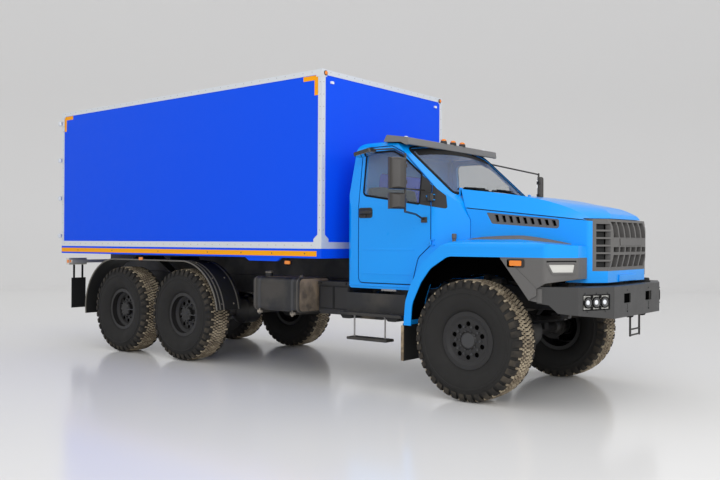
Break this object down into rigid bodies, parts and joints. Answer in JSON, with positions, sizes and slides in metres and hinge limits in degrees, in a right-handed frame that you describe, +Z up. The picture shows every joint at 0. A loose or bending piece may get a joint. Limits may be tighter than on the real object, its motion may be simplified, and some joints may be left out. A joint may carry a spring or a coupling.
{
  "type": "six-wheel-drive box truck",
  "caption": "Bonneted off-road truck with a cab, all wheels driven, steered front wheels and a plain panel box body with two rear doors.",
  "frame": {"origin": "on the ground, under the middle of the truck's length and width", "axes": "+X forward, +Y to the left, +Z up"},
  "size_m": [8.844, 3.418, 3.67],
  "materials": {
    "tyre_rubber": "matte",
    "wheel_paint": "satin",
    "black_steel": "satin",
    "cast_metal": "matte",
    "dark_plastic": "matte",
    "cab_paint": "gloss",
    "clear_glass": "gloss",
    "seat_fabric": "matte",
    "lamp_glass": "gloss",
    "bumper_paint": "satin",
    "guard_plastic": "matte",
    "body_paint": "satin",
    "profile_aluminium": "satin"
  },
  "bodies": {
    "truck": {"axles": "black_steel", "box_base": "black_steel", "box_panels": "body_paint", "box_profiles": "profile_aluminium", "bumper": "bumper_paint", "cab_glass": "clear_glass", "cab_shell": "cab_paint", "chassis_rails": "black_steel", "dashboard": "dark_plastic", "engine_and_gearbox": "cast_metal", "frame_members": "black_steel", "front_lamps": "lamp_glass", "fuel_tanks": "black_steel", "grilles": "dark_plastic", "lamp_trims": "dark_plastic", "leaf_springs": "black_steel", "mudguards": "guard_plastic", "nose_panels": "cab_paint", "prop_shafts": "black_steel", "radiator_frame": "dark_plastic", "rear_lamps": "lamp_glass", "seats": "seat_fabric", "side_boxes": "dark_plastic", "steps": "black_steel", "sun_visor": "dark_plastic", "wings": "cab_paint"},
    "wheel_front_left": {"rim_front_left": "wheel_paint", "tyre_front_left": "tyre_rubber"},
    "wheel_front_right": {"rim_front_right": "wheel_paint", "tyre_front_right": "tyre_rubber"},
    "wheel_middle_left": {"rim_middle_left": "wheel_paint", "tyre_middle_left": "tyre_rubber"},
    "wheel_middle_right": {"rim_middle_right": "wheel_paint", "tyre_middle_right": "tyre_rubber"},
    "wheel_rear_left": {"rim_rear_left": "wheel_paint", "tyre_rear_left": "tyre_rubber"},
    "wheel_rear_right": {"rim_rear_right": "wheel_paint", "tyre_rear_right": "tyre_rubber"},
    "knuckle_left": {"knuckle_left": "black_steel"},
    "knuckle_right": {"knuckle_right": "black_steel"},
    "tie_rod": {"tie_rod": "black_steel"},
    "door_left": {"door_left": "cab_paint", "door_glass_left": "clear_glass", "mirrors_left": "dark_plastic"},
    "door_right": {"door_right": "cab_paint", "door_glass_right": "clear_glass", "mirrors_right": "dark_plastic"},
    "bonnet": {"bonnet": "cab_paint"},
    "box_door_left": {"box_door_left": "body_paint"},
    "box_door_right": {"box_door_right": "body_paint"}
  },
  "joints": [
    {"name": "front_left_wheel_spin", "type": "hinge", "parent": "knuckle_left", "child": "wheel_front_left", "pos_m": [3.084, 1.05, 0.63], "axis": [0, 1, 0], "continuous": true},
    {"name": "front_right_wheel_spin", "type": "hinge", "parent": "knuckle_right", "child": "wheel_front_right", "pos_m": [3.084, -1.05, 0.63], "axis": [0, 1, 0], "continuous": true},
    {"name": "middle_left_wheel_spin", "type": "hinge", "parent": "truck", "child": "wheel_middle_left", "pos_m": [-1.471, 1.05, 0.63], "axis": [0, 1, 0], "continuous": true},
    {"name": "middle_right_wheel_spin", "type": "hinge", "parent": "truck", "child": "wheel_middle_right", "pos_m": [-1.471, -1.05, 0.63], "axis": [0, 1, 0], "continuous": true},
    {"name": "rear_left_wheel_spin", "type": "hinge", "parent": "truck", "child": "wheel_rear_left", "pos_m": [-2.871, 1.05, 0.63], "axis": [0, 1, 0], "continuous": true},
    {"name": "rear_right_wheel_spin", "type": "hinge", "parent": "truck", "child": "wheel_rear_right", "pos_m": [-2.871, -1.05, 0.63], "axis": [0, 1, 0], "continuous": true},
    {"name": "steer_left", "type": "hinge", "parent": "truck", "child": "knuckle_left", "pos_m": [3.084, 0.86, 0.63], "axis": [0, 0, 1], "range_deg": [-30, 30]},
    {"name": "steer_right", "type": "hinge", "parent": "truck", "child": "knuckle_right", "pos_m": [3.084, -0.86, 0.63], "axis": [0, 0, 1], "range_deg": [-30, 30]},
    {"name": "tie_rod_pivot", "type": "hinge", "parent": "knuckle_left", "child": "tie_rod", "pos_m": [2.834, 0.86, 0.5], "axis": [0, 0, 1], "range_deg": [-30, 30]},
    {"name": "door_left_hinge", "type": "hinge", "parent": "truck", "child": "door_left", "pos_m": [2.544, 1.066, 1.9], "axis": [0, 0, -1], "range_deg": [0, 70]},
    {"name": "door_right_hinge", "type": "hinge", "parent": "truck", "child": "door_right", "pos_m": [2.544, -1.066, 1.9], "axis": [0, 0, 1], "range_deg": [0, 70]},
    {"name": "bonnet_hinge", "type": "hinge", "parent": "truck", "child": "bonnet", "pos_m": [2.759, 0, 2.226], "axis": [0, -1, 0], "range_deg": [0, 50]},
    {"name": "box_door_left_hinge", "type": "hinge", "parent": "truck", "child": "box_door_left", "pos_m": [-4.407, 1.297, 2.6], "axis": [0, 0, -1], "range_deg": [0, 265]},
    {"name": "box_door_right_hinge", "type": "hinge", "parent": "truck", "child": "box_door_right", "pos_m": [-4.407, -1.297, 2.6], "axis": [0, 0, 1], "range_deg": [0, 265]}
  ],
  "couplings": [
    {"joint": "steer_right", "follows": "steer_left", "ratio": 1},
    {"joint": "tie_rod_pivot", "follows": "steer_left", "ratio": -1}
  ]
}
